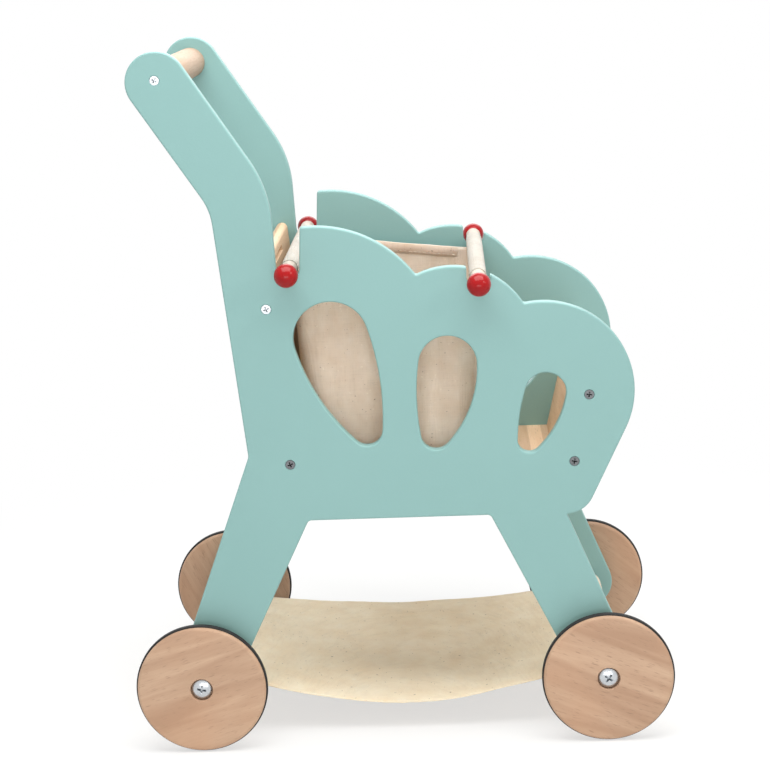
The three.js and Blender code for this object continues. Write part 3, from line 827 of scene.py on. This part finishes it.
def bag_ring(rise, inset=0.0, outwards=0.0):
    """The bag's ring at that share of the way up its walls, drawn in by inset or let out by outwards."""
    drop = max(rise, 0) ** bag_rear_drop
    low = bag_bottom["rear"] + (rod_axes["rear"].x - bag_bottom["rear"]) * drop + inset - outwards
    high = bag_bottom["front"] + (rod_axes["front"].x - bag_bottom["front"]) * rise - inset + outwards
    corner = max(2 * mm, bag_corner * (1 - 0.6 * rise) - inset + outwards)
    return rounded_ring(low, high, bag_half_width - inset + outwards, corner)


def bag_shell():
    """The bag's surface, hem first: walls, the fold to the bottom, and the bottom."""
    rows = []
    foot = floor_level + bag_fold
    for i in range(wall_rows):
        rise = 1 - i / wall_rows
        ring = bag_ring(rise)
        rows.append([(p.x, p.y, foot + (hem_height(p.x) - foot) * rise) for p in ring])
    for i in range(fold_rows + 1):
        angle = math.pi / 2 * i / fold_rows
        ring = bag_ring(0, bag_fold * (1 - math.cos(angle)))
        rows.append([(p.x, p.y, foot - bag_fold * math.sin(angle)) for p in ring])
    rim = [Vector(p) for p in rows[-1]]
    centre = sum(rim, Vector()) / len(rim)
    for i in range(1, floor_rows):
        rows.append([tuple(centre + (p - centre) * (1 - i / floor_rows)) for p in rim])
    shape = bmesh.new()
    grid = [[shape.verts.new(p) for p in row] for row in rows]
    for a, b in zip(grid, grid[1:]):
        for i in range(len(a)):
            j = (i + 1) % len(a)
            shape.faces.new((a[i], a[j], b[j], b[i]))
    hub = shape.verts.new(centre)
    for i in range(len(grid[-1])):
        shape.faces.new((grid[-1][i], grid[-1][(i + 1) % len(grid[-1])], hub))
    bmesh.ops.recalc_face_normals(shape, faces=shape.faces)
    mesh = bpy.data.meshes.new("bag")
    shape.to_mesh(mesh)
    shape.free()
    return mesh


def hang(mesh, held, frames, slack, reach):
    """Lets cloth hang: the points for which held is true stay, and no point moves beyond reach.
    slack is how much larger than that shape the cloth is cut, as a share."""
    rest = [v.co.copy() for v in mesh.vertices]
    cloth = bpy.data.objects.new("hanging", mesh)
    bpy.context.scene.collection.objects.link(cloth)
    pins = cloth.vertex_groups.new(name="pins")
    pins.add([i for i in range(len(rest)) if held(i)], 1.0, "REPLACE")
    step = cloth.modifiers.new("cloth", "CLOTH")
    settings = step.settings
    settings.quality = 6
    settings.mass = 0.25
    settings.tension_stiffness = settings.compression_stiffness = 12
    settings.shear_stiffness = 4
    settings.bending_stiffness = 0.4
    settings.vertex_group_mass = "pins"
    settings.shrink_min = -slack
    step.point_cache.frame_start = 1
    step.point_cache.frame_end = frames
    scene = bpy.context.scene
    for number in range(1, frames + 1):
        scene.frame_set(number)
    graph = bpy.context.evaluated_depsgraph_get()
    moved = [v.co.copy() for v in cloth.evaluated_get(graph).data.vertices]
    bpy.data.objects.remove(cloth)
    scene.frame_set(1)
    for vertex, before, after in zip(mesh.vertices, rest, moved):
        way = after - before
        vertex.co = before + way * min(1, reach / max(way.length, 1e-9))


def creased(mesh, rest_height):
    """Soft upright folds that fade towards hem and bottom, and the front corners folded inwards."""
    for vertex in mesh.vertices:
        p = vertex.co
        rise = (p.z - floor_level) / rest_height
        fade = max(0, math.sin(math.pi * min(1, max(0, rise)) ** 0.8))
        across = noise.noise(Vector((p.x * 26, p.y * 26, p.z * 7)))
        slant = noise.noise(Vector((p.x * 14 + 4, p.y * 14, p.z * 22 + 2)))
        push = (1.7 * across + 1.3 * slant) * mm * fade
        out = Vector((p.x - 0.5 * (bag_bottom["rear"] + bag_bottom["front"]), p.y, 0)).normalized()
        side_wall = abs(p.y) > abs(p.x) * 1.2
        vertex.co += (Vector((0, math.copysign(1, p.y), 0)) if side_wall else out) * push
        beyond = max(0, vertex.co.x - corner_fold["from"]) * corner_fold["turn"] * min(1, 1.6 * fade)
        width = bag_half_width - beyond
        vertex.co.y = min(width + push, max(-width - push, vertex.co.y)) if beyond else vertex.co.y


def cloth_piece(name, mesh, material, slot, *replaced, body="bag_set", thickness=cloth_thickness, smooth=1):
    for face in mesh.polygons:
        face.use_smooth = True
    made = add_piece(name, mesh, material, body, slot, *replaced)
    if smooth:
        made.modifiers.new("smooth", "SUBSURF").levels = smooth
        made.modifiers["smooth"].render_levels = smooth
    solid = made.modifiers.new("thickness", "SOLIDIFY")
    solid.thickness = thickness
    solid.offset = 0
    return made


def make_bag():
    mesh = bag_shell()
    ring = len(bag_ring(1))
    pinned_rows = 3
    free_end = ring * (wall_rows + fold_rows - 2)  # the points after this one, at the bottom, stay
    hang(mesh, lambda i: i < pinned_rows * ring or i > free_end, frames=26, slack=0.022, reach=4.5 * mm)
    creased(mesh, rod_axes["rear"].z - floor_level)
    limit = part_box("side_panel_left")[0].y - 2.2 * mm
    for vertex in mesh.vertices:
        vertex.co.y = min(limit, max(-limit, vertex.co.y))
        vertex.co.z = max(floor_level, vertex.co.z)
    cloth_piece("bag_cloth", mesh, bag_cloth, "calico", "bag")


def hem_band():
    """The turned-over upper edge of the side walls: a flat band with a rolled top."""
    half = 1.15 * mm
    section = [(half, -hem_depth), (half, -1.2 * mm), (0.6 * half, 0), (-0.6 * half, 0),
               (-half, -1.2 * mm), (-half, -hem_depth), (-0.3 * half, -hem_depth - 0.5 * mm),
               (0.3 * half, -hem_depth - 0.5 * mm)]
    shape = bmesh.new()
    rows = []
    for outwards, down in section:
        row = []
        for p in bag_ring(1, outwards=outwards):
            unevenness = 0.35 * mm * noise.noise(Vector((p.x * 90, p.y * 90, 0)))
            row.append(shape.verts.new((p.x, p.y, hem_height(p.x) + 0.6 * mm + down + unevenness)))
        rows.append(row)
    for a, b in zip(rows, rows[1:] + rows[:1]):
        for i in range(len(a)):
            j = (i + 1) % len(a)
            shape.faces.new((a[i], a[j], b[j], b[i]))
    return finished(shape, "bag_hem", 60)


def stitches(name, runs, length=2.6 * mm, gap=1.5 * mm, radius=0.32 * mm):
    """Rows of short stitches: each run is a list of points on the cloth's surface."""
    shape = bmesh.new()
    for run in runs:
        carried = 0.0
        for a, b in zip(run, run[1:]):
            way = b - a
            while carried + length < way.length:
                start = a + way.normalized() * carried
                turn = way.to_track_quat("Z", "Y").to_matrix().to_4x4()
                place = Matrix.Translation(start + way.normalized() * length / 2) @ turn
                bmesh.ops.create_uvsphere(shape, u_segments=6, v_segments=4, radius=1,
                                          matrix=place @ Matrix.Diagonal((radius, radius, length / 2, 1)))
                carried += length + gap
            carried -= way.length
    return finished(shape, name, 80)


def hem_runs():
    """Where the hem's stitches go: on the inside and outside of both side walls."""
    runs = []
    start, stop = rod_axes["rear"].x + 9 * mm, rod_axes["front"].x - 9 * mm
    for side in sides.values():
        for surface in (1.2 * mm, -1.2 * mm):
            y = side * (bag_half_width + surface)
            runs.append([Vector((x, y, hem_height(x) - hem_depth + 1.8 * mm)) for x in
                         (start + (stop - start) * i / 60 for i in range(61))])
    return runs


def rod_sleeve(end):
    """The sleeve that carries the bag on a rod: round the rod, and sewn to the wall below it."""
    axis = rod_axes[end]
    radius = (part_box(f"{end}_bag_rod")[1].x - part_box(f"{end}_bag_rod")[0].x) / 2 + 0.35 * mm
    drop = 15 * mm
    around, rows = 30, 64
    shape = bmesh.new()
    grid = []
    for i in range(rows + 1):
        y = (2 * i / rows - 1) * (bag_half_width + 1 * mm)
        row = []
        for j in range(around + 1):
            share = j / around
            angle = math.radians(-60 + 300 * share)
            slack = 0.12 * mm * noise.noise(Vector((2.5 * math.cos(angle), y * 60, 2.5 * math.sin(angle))))
            r = radius + slack
            row.append(Vector((axis.x + r * math.cos(angle), y, axis.z + r * math.sin(angle))))
        seam = Vector((axis.x, y, axis.z - drop))
        spread = 0.7 * mm
        lead = [seam + Vector((spread, 0, 0)), (seam + row[0]) / 2 + Vector((0.4 * mm, 0, 0))]
        tail = [(seam + row[-1]) / 2 - Vector((0.4 * mm, 0, 0)), seam - Vector((spread, 0, 0))]
        grid.append([shape.verts.new(p) for p in [*lead, *row, *tail]])
    for a, b in zip(grid, grid[1:]):
        for j in range(len(a) - 1):
            shape.faces.new((a[j], a[j + 1], b[j + 1], b[j]))
    return finished(shape, f"{end}_sleeve", 80)


make_bag()
add_piece("bag_hem", hem_band(), bag_cloth, "bag_set", "calico")
add_piece("bag_hem_stitches", stitches("bag_hem_stitches", hem_runs()), thread, "bag_set", "calico")
for end in ends:
    # The sleeves use the darkened calico, painted shade against the light from above.
    cloth_piece(f"{end}_bag_sleeve", rod_sleeve(end), sleeve_cloth_painted_shade, "calico", thickness=0.45 * mm, smooth=0)


# ------------------------------------------------------------------ sling

sling_half_width = 98 * mm
sling_sag = {"right": 28.5 * mm, "left": 10.5 * mm}
sling_curve = 1.8
sling_loop = 11 * mm  # radius of the loop round a rail
sling_seam = 25 * mm  # from a rail's axis to the seam of its loop
sling_flap = 7 * mm
rail_axis = middle("front_cross_rail")
sling_reach = rail_axis.x - 12.5 * mm


def sling_height(x, share):
    """The sling's height at x: share is 0 along its left-hand edge and 1 along its right."""
    sag = sling_sag["left"] + (sling_sag["right"] - sling_sag["left"]) * share
    level = min(1, abs(x) / sling_reach)
    return rail_axis.z - sag * (1 - level ** sling_curve)


def sling_section(share):
    """The (x, z) points of the cloth from flap to flap: loop, sagging span, loop."""
    seam = Vector((rail_axis.x - sling_seam, sling_height(rail_axis.x - sling_seam, share)))
    centre = Vector((rail_axis.x, rail_axis.z))
    towards = seam - centre
    heading = math.atan2(towards.y, towards.x)
    open_by = math.acos(sling_loop / towards.length)
    upper, lower = heading - open_by, heading + open_by - 2 * math.pi
    flap_x = seam.x - sling_flap
    loop = [Vector((flap_x, sling_height(flap_x, share) - 1.1 * mm)), seam + Vector((0, -1.0 * mm))]
    loop += [
        centre + sling_loop * Vector((math.cos(a), math.sin(a)))
        for a in (lower + (upper - lower) * i / 22 for i in range(23))
    ]
    steps = 90
    span = [
        Vector((x, sling_height(x, share)))
        for x in (seam.x * (1 - 2 * i / steps) for i in range(steps + 1))
    ]
    mirrored = [Vector((-p.x, p.y)) for p in reversed(loop)]
    return loop + span + mirrored


def sling_mesh():
    """One strip of cloth, with soft wrinkles that run from rail to rail."""
    rows = 72
    shape = bmesh.new()
    grid = []
    for i in range(rows + 1):
        share = i / rows
        y = sling_half_width * (1 - 2 * share)
        row = []
        for p in sling_section(share):
            level = min(1, abs(p.x) / sling_reach)
            slack = (1 - level ** 3) if abs(p.x) < sling_reach else 0
            ridge = noise.noise(Vector((p.x * 5, y * 34, 1.3))) * 1.5
            ripple = noise.noise(Vector((p.x * 13, y * 75, 7.1))) * 0.6
            edge = max(0, abs(2 * share - 1) - 0.86) / 0.14
            flutter = noise.noise(Vector((p.x * 19, 0, 3.0 + share))) * 1.4 * edge
            fray = noise.noise(Vector((p.x * 160, share * 3, 9.0))) * 0.5 * edge * mm
            lift = (ridge + ripple + flutter) * mm * slack
            row.append(shape.verts.new((p.x, y + fray, p.y + lift)))
        grid.append(row)
    for a, b in zip(grid, grid[1:]):
        for j in range(len(a) - 1):
            shape.faces.new((a[j], a[j + 1], b[j + 1], b[j]))
    return finished(shape, "sling", 80)


def path_length(points):
    return sum((b - a).length for a, b in zip(points, points[1:]))


sling = cloth_piece("sling_cloth", sling_mesh(), sling_cloth, "sling_calico", "sling", body="frame",
                    thickness=0.9 * mm, smooth=0)
path_length(sling_section(0.5))
seam_runs = [
    [Vector((sign * x, y, sling_height(x, share) + 0.6 * mm)) for share, y in
     ((i / 60, sling_half_width * (0.98 - 1.96 * i / 60)) for i in range(61))]
    for sign in (-1, 1) for x in (rail_axis.x - sling_seam - 2 * mm,)
]
add_piece("sling_stitches", stitches("sling_stitches", seam_runs), thread, "frame", "sling_calico")


# ------------------------------------------------------------------ floor, world and light

dome_light = 0.47
floor_white = (0.84, 0.84, 0.83, 1)
floor_plain = 0.62  # share of plain white in the floor's look under the object


def clear_rays(tree):
    """1 for rays that show the surroundings: straight to the camera, mirrored or through glass."""
    path = tree.nodes.new("ShaderNodeLightPath")
    share = path.outputs["Is Camera Ray"]
    for name in ("Is Glossy Ray", "Is Transmission Ray"):
        most = tree.nodes.new("ShaderNodeMath")
        most.operation = "MAXIMUM"
        tree.links.new(share, most.inputs[0])
        tree.links.new(path.outputs[name], most.inputs[1])
        share = most.outputs[0]
    return share


def make_world():
    world = bpy.data.worlds.new("studio")
    bpy.context.scene.world = world
    world.use_nodes = True
    tree = world.node_tree
    shown, lighting = tree.nodes["Background"], tree.nodes.new("ShaderNodeBackground")
    shown.inputs["Color"].default_value = (1, 1, 1, 1)
    shown.inputs["Strength"].default_value = 1
    lighting.inputs["Color"].default_value = (1, 0.995, 0.985, 1)
    lighting.inputs["Strength"].default_value = dome_light
    mix = tree.nodes.new("ShaderNodeMixShader")
    tree.links.new(clear_rays(tree), mix.inputs[0])
    tree.links.new(lighting.outputs[0], mix.inputs[1])
    tree.links.new(shown.outputs[0], mix.inputs[2])
    tree.links.new(mix.outputs[0], tree.nodes["World Output"].inputs["Surface"])


def make_floor():
    """A white floor. Seen directly it is part white and part lit, so that it keeps a soft shadow,
    and it turns to plain white away from the object."""
    half = 9.0
    mesh = bpy.data.meshes.new("floor")
    corners = [(-half, -half, 0), (half, -half, 0), (half, half, 0), (-half, half, 0)]
    mesh.from_pydata(corners, [], [(0, 1, 2, 3)])
    floor = bpy.data.objects.new("floor", mesh)
    bpy.context.scene.collection.objects.link(floor)
    made = Graph("studio_floor")
    tree = made.tree
    tree.nodes.remove(made.shader)
    lit = made.node("ShaderNodeBsdfDiffuse", {"Color": floor_white}, "BSDF")
    white = made.node("ShaderNodeEmission", {"Color": (1, 1, 1, 1), "Strength": 1.0}, "Emission")
    away = made.node("ShaderNodeVectorMath", {0: made.place}, "Value", operation="LENGTH")
    plain = made.between(away, 0.28, 0.75, floor_plain, 1)
    shown = made.sum("MULTIPLY", plain, clear_rays(tree))
    mixed = made.node("ShaderNodeMixShader", {0: shown, 1: lit, 2: white}, "Shader")
    tree.links.new(mixed, tree.nodes["Material Output"].inputs["Surface"])
    mesh.materials.append(made.material)


def make_lamp(name, place, aim, size, power, colour=(1, 1, 1)):
    lamp = bpy.data.lights.new(name, "AREA")
    lamp.shape = "RECTANGLE"
    lamp.size, lamp.size_y = size
    lamp.energy = power
    lamp.color = colour
    holder = bpy.data.objects.new(name, lamp)
    holder.location = place
    holder.rotation_euler = (Vector(aim) - Vector(place)).to_track_quat("-Z", "Y").to_euler()
    bpy.context.scene.collection.objects.link(holder)


make_world()
make_floor()
centre = (0, 0, 0.25)
make_lamp("overhead", (0.05, -0.3, 1.3), centre, (1.3, 0.9), 20)
make_lamp("low_front", (0.1, -1.7, 0.3), centre, (1.2, 0.4), 5.5)
make_lamp("behind", (0, 1.4, 1.2), centre, (1.6, 0.8), 10)
make_lamp("right_side", (1.3, -0.9, 1.1), centre, (0.28, 0.28), 4, (1, 0.96, 0.9))

bpy.context.scene.view_settings.view_transform = "Standard"
